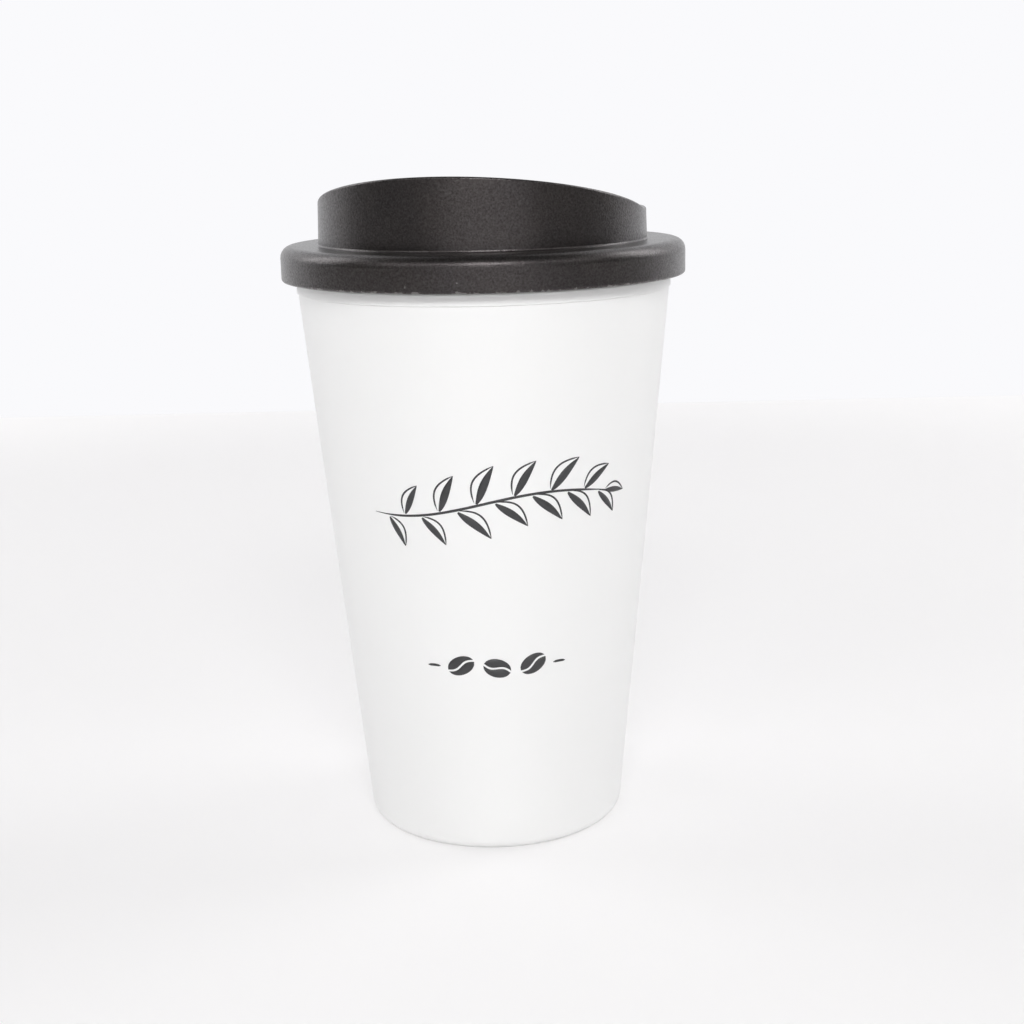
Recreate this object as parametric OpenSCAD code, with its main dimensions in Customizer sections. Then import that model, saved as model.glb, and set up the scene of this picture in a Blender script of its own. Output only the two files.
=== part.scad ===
// Reusable double-walled take-away cup with a twist lid, standing on its foot ring.
// Origin at the middle of the base, +Z up, the high drinking side of the lid towards -Y.

/* [Outer shell] */
// Radius that the straight side would have at the floor
shell_base_r = 30.85; // [27:0.05:34]
// Radius of the shell at its top edge
shell_top_r = 43.1; // [40:0.1:47]
// Height of the shell's top edge above the floor
shell_h = 128.2; // [90:0.1:160]
// Thickness of the shell's side
shell_wall = 1.8; // [1.4:0.1:2.4]
// Thickness of the shell's floor
shell_floor = 2; // [1.5:0.1:3]
// Rounding between the side and the foot
base_corner_r = 2.5; // [1:0.1:4]
// Width of the flat ring that the cup stands on
foot_w = 3; // [2:0.1:5]
// Depth of the recess inside the foot ring
foot_recess = 1.4; // [0.6:0.1:2.5]

/* [Liner] */
// Thickness of the liner's side
liner_wall = 1.6; // [1.2:0.1:2.2]
// Thickness of the liner's floor
liner_floor = 1.8; // [1.4:0.1:2.6]
// Air gap between the shell's side and the liner's side
air_gap = 2.8; // [1.5:0.1:4]
// Air gap between the shell's floor and the liner's floor
floor_gap = 3.6; // [2:0.1:8]
// Inside rounding between the liner's floor and side
liner_corner_r = 5; // [2:0.1:8]
// Height of the spigot that centres the liner in the shell's mouth
spigot_h = 3.5; // [2:0.1:6]
// Gap between the spigot and the shell
spigot_clear = 0.3; // [0.2:0.05:0.6]
// Height of the cone that widens the liner below its spigot
shoulder_h = 5; // [3:0.1:10]
// Height of the flange that shows as a band under the lid
band_h = 2.6; // [1.6:0.1:5]
// How far the band stands proud of the shell's top edge
band_proud = 0.3; // [0.1:0.05:0.8]
// Rounding of the band's two outer edges
band_edge_r = 0.4; // [0.2:0.05:0.7]

/* [Neck and thread] */
// How far the neck's outside lies inside the band's outside
neck_inset = 0.85; // [0.5:0.05:2]
// Thickness of the neck
neck_wall = 1.8; // [1.4:0.1:2.4]
// Height of the neck above the band
neck_h = 5.9; // [5:0.1:9]
// Height that the lid gains in one full turn
thread_lead = 12; // [10:0.5:16]
// Number of thread starts
thread_starts = 3; // [2:1:3]
// How far a thread ridge stands out of its wall
thread_depth = 1.3; // [0.8:0.1:1.6]
// Width of a thread ridge at its root
thread_root_w = 1.9; // [1.4:0.1:2.2]
// Width of a thread ridge at its crest
thread_crest_w = 0.9; // [0.5:0.1:1.2]
// Gap between a ridge's crest and the wall that it faces
thread_clear = 0.4; // [0.3:0.05:0.6]
// Gap between the flanks of a lid ridge and the neck ridge above it
thread_play = 0.3; // [0.2:0.05:0.5]
// Turn covered by each of the lid's ridges
lug_sweep = 60; // [40:1:75]

/* [Lid] */
// Thickness of the lid's skirt
skirt_wall = 2.5; // [1.8:0.1:3.5]
// Gap between the band's top and the skirt's lower edge
skirt_gap = 0.25; // [0.15:0.05:0.6]
// Rounding of the skirt's lower outer edge
skirt_edge_r = 0.6; // [0.3:0.05:1]
// Gap between the cup's mouth and the underside of the flange
mouth_clear = 0.3; // [0.2:0.05:0.6]
// Thickness of the lid's flange
flange_wall = 1.95; // [1.5:0.05:3]
// Rounding of the flange's shoulder
shoulder_r = 2.6; // [1.5:0.1:3.5]
// Width of the ledge between the lid's edge and the collar's foot
ledge_w = 8.75; // [7:0.05:10]
// Thickness of the collar at its foot
collar_wall = 2; // [1.5:0.1:2.6]
// Draft of the collar's outside, in degrees
collar_draft = 1.9; // [0.5:0.1:3]
// How far the chamfer at the collar's foot stands out
collar_foot_w = 0.22; // [0.1:0.02:0.8]
// Height of that chamfer
collar_foot_h = 0.36; // [0.2:0.02:1]
// Height of the rim's level part above the flange
rim_h = 7.1; // [6:0.1:10]
// Slant of the rim on the drinking side, in degrees
rim_tilt = 12.8; // [5:0.1:15]
// Radius of the bend between the slanted and the level part of the rim
rim_bend_r = 20; // [5:1:60]
// Depth of the deck below the flange
deck_drop = 0.8; // [0:0.1:1.5]
// Thickness of the deck
deck_wall = 1.8; // [1.4:0.1:2.4]
// Height of the deck's crown over its edge
deck_crown = 0.8; // [0.2:0.1:1.5]
// Rounding between the deck and the collar
deck_fillet = 1.8; // [1:0.1:2.5]

/* [Openings in the deck] */
// Width of the sip slot
slot_w = 5.6; // [5:0.1:7]
// Turn covered by the sip slot between the centres of its round ends
slot_sweep = 24; // [16:1:40]
// Distance from the slot's outer edge to the collar
slot_edge = 1.9; // [1.6:0.1:4]
// Diameter of the vent hole
vent_d = 2.4; // [1.5:0.1:4]
// Distance of the vent hole from the lid's axis
vent_at = 24; // [15:0.5:28]

/* [Plug and seal] */
// Gap between the plug's ribs and the inside of the neck
plug_clear = 0.75; // [0.5:0.05:1.2]
// Thickness of the plug behind its groove
plug_wall = 1.9; // [1.5:0.1:2.4]
// Depth of the seal's groove
groove_d = 1.6; // [1.2:0.1:2]
// Height of the seal's groove
groove_h = 2.2; // [1.6:0.1:2.6]
// Height of the rib under the groove
plug_rib_h = 1.2; // [0.8:0.1:1.6]
// How far the plug's lower edge lies above the skirt's lower edge
plug_lift = 0.3; // [0:0.1:0.8]
// Gap between the seal and the groove or the neck
seal_clear = 0.2; // [0.15:0.05:0.3]
// Radius of the seal's two lips
seal_lip_r = 0.45; // [0.3:0.05:0.5]

/* [Hidden] */
$fn = 180;
cut_over = 1;           // how far a cutting shape runs past what it cuts
arc_steps = 8;          // straight steps in a quarter turn of a small rounding
ridge_step = 4;         // degrees between two sections of a thread ridge
ridge_fade = 12;        // degrees over which a ridge runs out into its wall
ridge_bite = 0.5;       // how deep a ridge's root goes into its wall
ridge_sink = 0.15;      // how far a ridge's end dips below its wall

white = [0.95, 0.95, 0.94];
black = [0.13, 0.125, 0.12];
grey = [0.55, 0.56, 0.57];

// The side's taper
taper = (shell_top_r - shell_base_r) / shell_h;
taper_a = atan(taper);
shell_in_z = foot_recess + shell_floor;
liner_z = shell_in_z + floor_gap;
liner_in_z = liner_z + liner_floor;
spigot_z = shell_h - spigot_h;
shoulder_z = spigot_z - shoulder_h;

// The band, the neck and the lid's main heights
band_r = shell_top_r + band_proud;
band_z = shell_h + band_h;
neck_r = band_r - neck_inset;
neck_in_r = neck_r - neck_wall;
mouth_z = band_z + neck_h;
skirt_in_r = neck_r + thread_depth + thread_clear;
lid_r = skirt_in_r + skirt_wall;
skirt_z = band_z + skirt_gap;
flange_in_z = mouth_z + mouth_clear;
flange_z = flange_in_z + flange_wall;

// The collar, the deck and the plug
collar_r = lid_r - ledge_w;
collar_in_r = collar_r - collar_wall;
rim_z = flange_z + rim_h;
collar_cut_z = rim_z + collar_r * tan(rim_tilt) + cut_over;
deck_z = flange_z - deck_drop;
plug_z = skirt_z + plug_lift;
plug_r = neck_in_r - plug_clear;
groove_r = plug_r - groove_d;
groove_z = plug_z + plug_rib_h;
plug_in_r = groove_r - plug_wall;
slot_r = collar_in_r - slot_edge - slot_w / 2;

// The thread's ridges, by the height of their middle
flank = (thread_root_w - thread_crest_w) / 2 / thread_depth;
ridge_low_z = band_z + thread_root_w / 2 + skirt_gap;
ridge_high_z = mouth_z - thread_root_w / 2 - neck_wall / 4;
neck_sweep = 360 * (ridge_high_z - ridge_low_z) / thread_lead;
lug_offset = thread_root_w - flank * (thread_depth + thread_clear) + thread_play;
lug_low_z = skirt_z + thread_root_w / 2 + skirt_edge_r / 4;
lug_start = 360 * (lug_low_z - (ridge_low_z - lug_offset)) / thread_lead;

// Outside radius of the shell's straight side at a height
function side_r(z) = shell_base_r + taper * z;

// Middle of a rounding between a floor at z and a side that lies inset inside the shell's outside
function corner_at(z, inset, r) = side_r(z + r) - inset - r / cos(taper_a);

// Points of an arc round (x, z)
function arc(x, z, r, from, to) =
    [for (i = [0 : arc_steps]) let (a = from + (to - from) * i / arc_steps) [x + r * cos(a), z + r * sin(a)]];

// Point of a thread ridge's section, at an angle, a radius and a height
function ring_point(a, r, z) = [r * cos(a), r * sin(a), z];

// Outer shell: tapered side, rounded corner, foot ring round a recess
module outer_shell() {
    corner_x = corner_at(0, 0, base_corner_r);
    foot_in_r = corner_x - foot_w;
    inner_r = base_corner_r - shell_wall / 2;
    color(white)
    rotate_extrude()
    polygon(concat(
        [[0, foot_recess], [foot_in_r - foot_recess, foot_recess], [foot_in_r, 0]],
        arc(corner_x, base_corner_r, base_corner_r, -90, -taper_a),
        [[shell_top_r, shell_h], [shell_top_r - shell_wall, shell_h]],
        arc(corner_at(shell_in_z, shell_wall, inner_r), shell_in_z + inner_r, inner_r, -taper_a, -90),
        [[0, shell_in_z]]
    ));
}

// One ridge of the thread, from inner radius and half width to outer radius and half width
module ridge(start_a, sweep, low_z, root_r, way) {
    steps = ceil(sweep / ridge_step);
    sections = [
        for (i = [0 : steps])
        let (
            turn = sweep * i / steps,
            a = start_a + turn,
            z = low_z + thread_lead * turn / 360,
            full = min(1, turn / ridge_fade, (sweep - turn) / ridge_fade),
            out = thread_depth * full - ridge_sink * (1 - full),
            crest = [root_r + way * out, thread_root_w / 2 - flank * out],
            root = [root_r - way * ridge_bite, thread_root_w / 2 + flank * ridge_bite],
            near = way > 0 ? root : crest,
            far = way > 0 ? crest : root
        )
        [
            ring_point(a, near[0], z - near[1]),
            ring_point(a, near[0], z + near[1]),
            ring_point(a, far[0], z + far[1]),
            ring_point(a, far[0], z - far[1])
        ]
    ];
    polyhedron(
        points = [for (s = sections) each s],
        faces = concat(
            [[0, 1, 2], [0, 2, 3]],
            [for (i = [0 : steps - 1], j = [0 : 3]) let (k = (j + 1) % 4) [4 * i + k, 4 * i + j, 4 * i + 4 + j]],
            [for (i = [0 : steps - 1], j = [0 : 3]) let (k = (j + 1) % 4) [4 * i + k, 4 * i + 4 + j, 4 * i + 4 + k]],
            [[4 * steps + 2, 4 * steps + 1, 4 * steps], [4 * steps + 3, 4 * steps + 2, 4 * steps]]
        )
    );
}

// Inner liner: drinking space, spigot, flange and threaded neck
module inner_liner() {
    inset = shell_wall + air_gap;
    outer_r = liner_corner_r + liner_wall;
    spigot_inset = shell_wall + spigot_clear;
    throat_r = side_r(spigot_z) - spigot_inset - liner_wall;
    color(white)
    union() {
        rotate_extrude()
        polygon(concat(
            [[0, liner_z]],
            arc(corner_at(liner_z, inset, outer_r), liner_z + outer_r, outer_r, -90, -taper_a),
            [
                [side_r(shoulder_z) - inset, shoulder_z],
                [side_r(spigot_z) - spigot_inset, spigot_z],
                [side_r(shell_h) - spigot_inset, shell_h]
            ],
            arc(band_r - band_edge_r, shell_h + band_edge_r, band_edge_r, -90, 0),
            arc(band_r - band_edge_r, band_z - band_edge_r, band_edge_r, 0, 90),
            [[neck_r, band_z]],
            arc(neck_r - neck_wall / 2, mouth_z - neck_wall / 2, neck_wall / 2, 0, 180),
            [
                [neck_in_r, band_z],
                [throat_r, shell_h],
                [throat_r, spigot_z],
                [side_r(shoulder_z) - inset - liner_wall, shoulder_z]
            ],
            arc(
                corner_at(liner_in_z, inset + liner_wall, liner_corner_r), liner_in_z + liner_corner_r,
                liner_corner_r, -taper_a, -90
            ),
            [[0, liner_in_z]]
        ));
        for (i = [0 : thread_starts - 1])
            ridge(360 * i / thread_starts, neck_sweep, ridge_low_z, neck_r, 1);
    }
}

// Lid, before the rim is cut and the deck is pierced
module lid_body() {
    rotate_extrude()
    polygon(concat(
        [[0, deck_z + deck_crown]],
        arc(collar_in_r - deck_fillet, deck_z + deck_fillet, deck_fillet, -90, 0),
        [
            [collar_in_r, collar_cut_z],
            [collar_r - (collar_cut_z - flange_z) * tan(collar_draft), collar_cut_z],
            [collar_r - collar_foot_h * tan(collar_draft), flange_z + collar_foot_h],
            [collar_r + collar_foot_w, flange_z]
        ],
        arc(lid_r - shoulder_r, flange_z - shoulder_r, shoulder_r, 90, 0),
        arc(lid_r - skirt_edge_r, skirt_z + skirt_edge_r, skirt_edge_r, 0, -90),
        [
            [skirt_in_r, skirt_z],
            [skirt_in_r, flange_in_z],
            [plug_r, flange_in_z],
            [plug_r, groove_z + groove_h],
            [groove_r, groove_z + groove_h],
            [groove_r, groove_z],
            [plug_r, groove_z],
            [plug_r, plug_z],
            [plug_in_r, plug_z],
            [plug_in_r, deck_z - deck_wall],
            [0, deck_z + deck_crown - deck_wall]
        ]
    ));
}

// Everything above the rim: slanted on the drinking side, level behind the axis, with a bend between the two
module above_rim() {
    reach = lid_r + cut_over;
    translate([-reach, rim_bend_r * tan(rim_tilt / 2), rim_z + rim_bend_r])
    union() {
        rotate([0, 90, 0]) cylinder(r = rim_bend_r, h = 2 * reach);
        translate([0, 0, -rim_bend_r]) cube([2 * reach, 2 * reach, 2 * reach]);
        rotate([-rim_tilt, 0, 0]) translate([0, -2 * reach, -rim_bend_r]) cube([2 * reach, 2 * reach, 2 * reach]);
    }
}

// Sip slot, curved along the collar, with round ends
module sip_slot() {
    low = deck_z - deck_wall - cut_over;
    tall = deck_wall + deck_crown + 2 * cut_over;
    translate([0, 0, low])
    rotate([0, 0, -90]) {
        rotate([0, 0, -slot_sweep / 2])
        rotate_extrude(angle = slot_sweep)
        translate([slot_r - slot_w / 2, 0])
        square([slot_w, tall]);
        for (end = [-1, 1])
            rotate([0, 0, end * slot_sweep / 2])
            translate([slot_r, 0, 0])
            rotate([0, 0, -90 * end])
            cylinder(d = slot_w, h = tall);
    }
}

// Vent hole, opposite the slot
module vent_hole() {
    translate([0, vent_at, deck_z - deck_wall - cut_over])
    cylinder(d = vent_d, h = deck_wall + deck_crown + 2 * cut_over);
}

// Lid: skirt, flange, collar with slanted rim, deck and plug in one moulding
module lid() {
    color(black)
    union() {
        difference() {
            lid_body();
            above_rim();
            sip_slot();
            vent_hole();
        }
        for (i = [0 : thread_starts - 1])
            ridge(360 * i / thread_starts + lug_start, lug_sweep, lug_low_z, skirt_in_r, -1);
    }
}

// Seal ring: flat inside, two round lips towards the neck
module seal_ring() {
    in_r = groove_r + seal_clear;
    lip_r = neck_in_r - seal_clear - seal_lip_r;
    low = groove_z + seal_clear;
    high = groove_z + groove_h - seal_clear;
    color(grey)
    rotate_extrude()
    polygon(concat(
        [[in_r, low]],
        arc(lip_r, low + seal_lip_r, seal_lip_r, -90, 90),
        arc(lip_r, high - seal_lip_r, seal_lip_r, -90, 90),
        [[in_r, high]]
    ));
}

outer_shell();
inner_liner();
lid();
seal_ring();
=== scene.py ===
import math

import bpy
import bmesh
from mathutils import Matrix, Vector


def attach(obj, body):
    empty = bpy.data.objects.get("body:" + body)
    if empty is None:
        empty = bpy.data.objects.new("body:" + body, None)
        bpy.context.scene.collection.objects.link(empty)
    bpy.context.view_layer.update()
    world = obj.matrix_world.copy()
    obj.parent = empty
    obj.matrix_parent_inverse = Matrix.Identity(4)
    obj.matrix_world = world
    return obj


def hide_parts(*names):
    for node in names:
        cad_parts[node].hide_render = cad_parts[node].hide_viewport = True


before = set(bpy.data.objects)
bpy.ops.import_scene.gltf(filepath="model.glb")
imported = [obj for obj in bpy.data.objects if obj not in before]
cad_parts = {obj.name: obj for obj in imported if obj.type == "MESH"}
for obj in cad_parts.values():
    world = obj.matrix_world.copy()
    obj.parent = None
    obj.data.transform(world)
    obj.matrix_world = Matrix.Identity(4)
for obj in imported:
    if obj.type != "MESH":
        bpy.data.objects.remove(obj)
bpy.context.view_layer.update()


# The view: a camera a little above the lid, looking down on the cup from the right of its drinking side.
# It stands where the photograph was taken from, and it leans by about a degree, as the photograph does.
view_from = Vector((0.08962, -0.35583, 0.16282))
view_turn = math.radians(13.3)
view_down = math.radians(13.63)
view_lean = math.radians(-1.27)
view_lens = 54.84
view_sensor = 36
view_nearest = 0.01
view_farthest = 20

ahead = Vector((
    -math.sin(view_turn) * math.cos(view_down),
    math.cos(view_turn) * math.cos(view_down),
    -math.sin(view_down),
))
level_right = Vector((math.cos(view_turn), math.sin(view_turn), 0))
level_up = level_right.cross(ahead)
lean_right = level_right * math.cos(view_lean) + level_up * math.sin(view_lean)
lean_up = level_up * math.cos(view_lean) - level_right * math.sin(view_lean)

camera_data = bpy.data.cameras.new("photo view")
camera_data.sensor_width = view_sensor
camera_data.lens = view_lens
camera_data.clip_start = view_nearest
camera_data.clip_end = view_farthest
camera = bpy.data.objects.new("photo view", camera_data)
camera_turn = Matrix((lean_right, lean_up, -ahead)).transposed().to_4x4()
camera.matrix_world = Matrix.Translation(view_from) @ camera_turn
bpy.context.scene.collection.objects.link(camera)
bpy.context.scene.camera = camera


# The studio: a pale table top that ends in a white wall behind the cup, square to the view.
# The table keeps the cup's soft shadows, and camera and gloss see the wall as plain white paper.
table_half_width = 2.2
table_front = 1.6
table_tone = (0.95, 0.94, 0.94)
table_glow = 0.44
table_glow_tone = (0.98, 0.97, 0.975)
wall_behind = 0.60
wall_height = 1.6
wall_bend_r = 0.02
wall_bend_steps = 8
wall_tone = (0.955, 0.955, 0.975)
wall_glow = 1.0
fade_near = 0.42
fade_far = 0.72


def add_node(tree, kind, inputs=None, **settings):
    """Adds a node, sets its settings, and fills its inputs with values or links."""
    made = tree.nodes.new(kind)
    for name, value in settings.items():
        setattr(made, name, value)
    for key, value in (inputs or {}).items():
        if isinstance(value, bpy.types.NodeSocket):
            tree.links.new(value, made.inputs[key])
        else:
            made.inputs[key].default_value = value
    return made


def maths(tree, operation, *values):
    """Adds a Math node and returns what it puts out."""
    return add_node(tree, "ShaderNodeMath", dict(enumerate(values)), operation=operation).outputs[0]


def ranged(tree, value, low, high, to_low=0.0, to_high=1.0, **settings):
    """Adds a node that maps low to high onto to_low to to_high, and returns what it puts out."""
    return add_node(tree, "ShaderNodeMapRange", {
        "Value": value, "From Min": low, "From Max": high, "To Min": to_low, "To Max": to_high,
    }, **settings).outputs[0]


def new_material(name):
    """Adds an empty material and returns it with its tree."""
    material = bpy.data.materials.new(name)
    material.use_nodes = True
    material.node_tree.nodes.clear()
    return material, material.node_tree


def new_piece(name, vertices, faces, material):
    """Adds a mesh object made of the given vertices and faces, smooth, in one material."""
    mesh = bpy.data.meshes.new(name)
    mesh.from_pydata(vertices, [], faces)
    mesh.materials.append(material)
    for polygon in mesh.polygons:
        polygon.use_smooth = True
    piece = bpy.data.objects.new(name, mesh)
    bpy.context.scene.collection.objects.link(piece)
    return piece


def studio_paper(name, tone, glow, glow_tone):
    """A matt pale surface that also glows a little to camera and gloss, so that it reads as white paper.
    To the camera it turns wholly into its glow far from the cup, where the lamps don't reach."""
    material, tree = new_material(name)
    path = add_node(tree, "ShaderNodeLightPath").outputs
    seen = maths(tree, "MAXIMUM", path["Is Camera Ray"], path["Is Glossy Ray"])
    seen = maths(tree, "MAXIMUM", seen, path["Is Transmission Ray"])
    place = add_node(tree, "ShaderNodeTexCoord").outputs["Object"]
    distance = add_node(tree, "ShaderNodeVectorMath", {0: place}, operation="LENGTH").outputs["Value"]
    far = ranged(tree, distance, fade_near, fade_far, interpolation_type="SMOOTHSTEP")
    near_glow = maths(tree, "MULTIPLY", seen, glow)
    fade = maths(tree, "MULTIPLY", path["Is Camera Ray"], far)
    rest = maths(tree, "SUBTRACT", 1.0, near_glow)
    glowing = maths(tree, "ADD", near_glow, maths(tree, "MULTIPLY", fade, rest))
    matt = add_node(tree, "ShaderNodeBsdfDiffuse", {"Color": (*tone, 1)})
    light = add_node(tree, "ShaderNodeEmission", {"Color": (*glow_tone, 1), "Strength": 1.0})
    shown = add_node(tree, "ShaderNodeMixShader", {0: glowing, 1: matt.outputs[0], 2: light.outputs[0]})
    add_node(tree, "ShaderNodeOutputMaterial", {"Surface": shown.outputs[0]})
    return material


turn_to_view = Matrix.Rotation(view_turn, 4, "Z")
bend = [
    (wall_behind - wall_bend_r + wall_bend_r * math.sin(a), wall_bend_r - wall_bend_r * math.cos(a))
    for a in [math.radians(90) * i / wall_bend_steps for i in range(wall_bend_steps + 1)]
]


def swept_sheet(name, line, material):
    """A sheet as wide as the table, along a line of (distance behind the cup, height) points."""
    across = (-table_half_width, table_half_width)
    corners = [turn_to_view @ Vector((x, y, z)) for y, z in line for x in across]
    strips = [(2 * i, 2 * i + 1, 2 * i + 3, 2 * i + 2) for i in range(len(line) - 1)]
    return new_piece(name, corners, strips, material)


table_paper = studio_paper("table paper", table_tone, table_glow, table_glow_tone)
wall_paper = studio_paper("wall paper", wall_tone, wall_glow, wall_tone)
table_top = swept_sheet("table_top", [(-table_front, 0), bend[0]], table_paper)
wall = swept_sheet("wall", [*bend, (wall_behind, wall_height)], wall_paper)


# The light: four soft boxes in front, of which the left and right ones cast the two soft shadows behind
# the cup, the low one makes the lit patch on the lid's collar and the high one its shoulder line. Two more
# light its sides. Turns from the view and heights above level are in degrees.
softboxes = {
    "softbox_left": {"turn": -44, "height": 31, "away": 1.25, "size": (0.7, 0.42), "watts": 2.1},
    "softbox_right": {"turn": 53, "height": 31, "away": 1.25, "size": (0.7, 0.42), "watts": 1.25},
    "softbox_front_high": {"turn": 3, "height": 34, "away": 1.3, "size": (0.60, 0.26), "watts": 7.3},
    "softbox_front_low": {"turn": 3, "height": 6, "away": 1.5, "size": (1.7, 0.45), "watts": 3.3},
    "softbox_side_left": {"turn": -117, "height": 30, "away": 1.3, "size": (1.0, 0.8), "watts": 7.8},
    "softbox_side_right": {"turn": 119, "height": 30, "away": 1.3, "size": (1.0, 0.8), "watts": 9.9},
}
light_aim = Vector((0, 0, 0.09))
room_tone = (0.96, 0.97, 1.0)
room_strength = 0.07

for name, box in softboxes.items():
    lamp = bpy.data.lights.new(name, "AREA")
    lamp.shape = "RECTANGLE"
    lamp.size, lamp.size_y = box["size"]
    lamp.energy = box["watts"]
    turn = view_turn + math.radians(box["turn"])
    height = math.radians(box["height"])
    towards = Vector((
        math.sin(turn) * math.cos(height), -math.cos(turn) * math.cos(height), math.sin(height),
    ))
    holder = bpy.data.objects.new(name, lamp)
    holder.location = light_aim + towards * box["away"]
    holder.rotation_mode = "QUATERNION"
    holder.rotation_quaternion = towards.to_track_quat("Z", "Y")
    bpy.context.scene.collection.objects.link(holder)

world = bpy.data.worlds.new("room")
world.use_nodes = True
room = world.node_tree
room.nodes.clear()
room_light = add_node(room, "ShaderNodeBackground", {"Color": (*room_tone, 1), "Strength": room_strength})
white_room = add_node(room, "ShaderNodeBackground", {"Color": (*wall_tone, 1), "Strength": 1.0})
room_path = add_node(room, "ShaderNodeLightPath")
room_mix = add_node(room, "ShaderNodeMixShader", {
    0: room_path.outputs["Is Camera Ray"], 1: room_light.outputs[0], 2: white_room.outputs[0],
})
add_node(room, "ShaderNodeOutputWorld", {"Surface": room_mix.outputs[0]})
bpy.context.scene.world = world
bpy.context.scene.view_settings.view_transform = "Standard"


# Outer shell of the cup: satin white polypropylene, moulded in one go with its rounded base corner and the
# foot ring round a shallow recess. It is a turned form with a gate mark in the middle of the recess.
shell_base_r = 0.03085
shell_top_r = 0.0431
shell_h = 0.1282
shell_wall = 0.0018
shell_in_z = 0.0034
shell_in_corner_r = 0.0016
shell_in_inset = 0.0003
shell_rim_edge_r = 0.00015
foot_recess = 0.0014
foot_in_r = 0.02555
foot_recess_corner_r = 0.0008
base_corner_r = 0.0025
gate_z = 0.0010
gate_r = 0.0015
gate_foot_r = 0.0019
gate_edge_r = 0.0002
small_edge_r = 0.0003
cup_sections = 288
merge_gap = 1e-6


def rounded(corners, steps=6, support=0.00015):
    """Outline through (radius, height, rounding) corners, with an arc at each rounded one and a point close
    before and after each arc, so that flat stretches stay flat under smooth shading."""
    line = []
    for i, (x, z, r) in enumerate(corners):
        here = Vector((x, z))
        if r <= 0 or i in (0, len(corners) - 1):
            line.append(here)
            continue
        back = Vector(corners[i - 1][:2]) - here
        on = Vector(corners[i + 1][:2]) - here
        half = back.angle(on) / 2
        reach = r / math.tan(half)
        a, b = here + back.normalized() * reach, here + on.normalized() * reach
        middle = here + (back.normalized() + on.normalized()).normalized() * (r / math.sin(half))
        if back.length - reach > 3 * support:
            line.append(a + back.normalized() * support)
        turned = (a - middle).angle_signed(b - middle)
        for s in range(steps + 1):
            line.append(middle + Matrix.Rotation(-turned * s / steps, 2) @ (a - middle))
        if on.length - reach > 3 * support:
            line.append(b + on.normalized() * support)
    return line


def outline_piece(name, line, **masks):
    """A chain of points in the XZ plane, with one number for each mask at each point."""
    mesh = bpy.data.meshes.new(name)
    mesh.from_pydata([(p[0], 0, p[1]) for p in line], [(i, i + 1) for i in range(len(line) - 1)], [])
    for mask, numbers in masks.items():
        mesh.attributes.new(mask, "FLOAT", "POINT").data.foreach_set("value", numbers)
    piece = bpy.data.objects.new(name, mesh)
    bpy.context.scene.collection.objects.link(piece)
    return piece


def new_tree(name, kind, inputs, outputs):
    """Starts a node group with named sockets, each of a kind or of a (kind, value at first), and returns it
    with what its input node gives."""
    tree = bpy.data.node_groups.new(name, kind + "NodeTree")
    for in_out, sockets in (("INPUT", inputs), ("OUTPUT", outputs)):
        for socket, what in sockets.items():
            what, first = what if isinstance(what, tuple) else (what, None)
            made = tree.interface.new_socket(socket, in_out=in_out, socket_type="NodeSocket" + what)
            if first is not None:
                made.default_value = first
    return tree, add_node(tree, "NodeGroupInput").outputs


def outline_grid(tree, outline, rows):
    """Nodes for a grid with a column for each point of an outline. Gives the grid, the share of the way
    through its rows, the number of the outline's point, and that point's own X, Y and Z."""
    count = add_node(tree, "GeometryNodeAttributeDomainSize", {"Geometry": outline}, component="MESH")
    count = count.outputs["Point Count"]
    grid = add_node(tree, "GeometryNodeMeshGrid", {
        "Size X": 1.0, "Size Y": 1.0, "Vertices X": count, "Vertices Y": rows,
    })
    position = add_node(tree, "GeometryNodeInputPosition").outputs[0]
    place = add_node(tree, "ShaderNodeSeparateXYZ", {0: position}).outputs
    along = maths(tree, "ADD", place["X"], 0.5)
    which = maths(tree, "ROUND", maths(tree, "MULTIPLY", along, maths(tree, "SUBTRACT", count, 1)))
    point = add_node(tree, "GeometryNodeSampleIndex", {
        "Geometry": outline, "Value": position, "Index": which,
    }, data_type="FLOAT_VECTOR", domain="POINT").outputs["Value"]
    point = add_node(tree, "ShaderNodeSeparateXYZ", {0: point}).outputs
    return grid.outputs["Mesh"], maths(tree, "ADD", place["Y"], 0.5), which, point


def round_axis(tree, radius, angle, height):
    """Nodes for the place at a radius and an angle round the cup's axis, and at a height."""
    return add_node(tree, "ShaderNodeCombineXYZ", {
        "X": maths(tree, "MULTIPLY", radius, maths(tree, "COSINE", angle)),
        "Y": maths(tree, "MULTIPLY", radius, maths(tree, "SINE", angle)),
        "Z": height,
    }).outputs[0]


def put_out(tree, shape, material):
    """Ends a tree: makes instances real, sets the material and puts the shape out."""
    shape = add_node(tree, "GeometryNodeRealizeInstances", {"Geometry": shape}).outputs[0]
    shape = add_node(tree, "GeometryNodeSetMaterial", {"Geometry": shape, "Material": material})
    add_node(tree, "NodeGroupOutput", {0: shape.outputs[0]})
    return tree


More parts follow.
